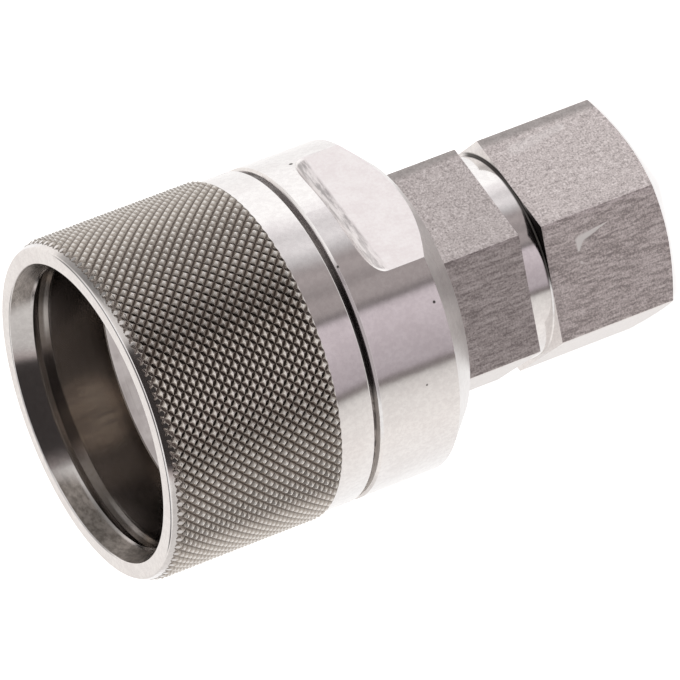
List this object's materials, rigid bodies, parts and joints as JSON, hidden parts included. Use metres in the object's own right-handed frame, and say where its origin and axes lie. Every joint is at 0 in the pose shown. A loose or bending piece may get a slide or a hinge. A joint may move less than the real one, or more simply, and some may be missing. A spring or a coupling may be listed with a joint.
{
  "type": "hydraulic screw coupling half",
  "caption": "Stainless hydraulic coupling nipple with a knurled screw sleeve that swivels on a flanged valve body, spring-closed poppet, and a hexagon adapter with a female pipe thread.",
  "frame": {"origin": "centre of the port end face, on which the part stands", "axes": "+Z along the axis to the open mouth of the sleeve, +X square to a wrench flat"},
  "size_m": [0.0438, 0.0438, 0.075],
  "materials": {
    "hexagon_bar": "as-drawn hexagon bar with a fine grain",
    "turned_steel": "finely turned, bright",
    "knurled_steel": "diamond knurl with bright turned ends",
    "valve_steel": "turned",
    "spring_steel": "drawn wire",
    "seal_rubber": "smooth black rubber",
    "backup_plastic": "smooth hard plastic"
  },
  "bodies": {
    "body": {"valve_body": "turned_steel", "port_adapter": "hexagon_bar", "adapter_o_ring": "seal_rubber", "adapter_backup_ring": "backup_plastic", "nose_o_ring": "seal_rubber", "nose_backup_ring": "backup_plastic", "sleeve_retaining_ring": "spring_steel", "poppet_guide": "valve_steel", "valve_spring": "spring_steel"},
    "sleeve": {"coupling_sleeve": "knurled_steel"},
    "poppet": {"poppet": "valve_steel", "poppet_seal": "seal_rubber"}
  },
  "joints": [
    {"name": "sleeve_swivel", "type": "hinge", "parent": "body", "child": "sleeve", "pos_m": [0, 0, 0.049], "axis": [0, 0, 1], "continuous": true},
    {"name": "poppet_slide", "type": "slide", "parent": "body", "child": "poppet", "axis": [0, 0, -1], "range_m": [0, 0.0045], "stiffness_N_per_m": 2300, "springref_m": -0.004, "deforming": ["valve_spring"]}
  ]
}
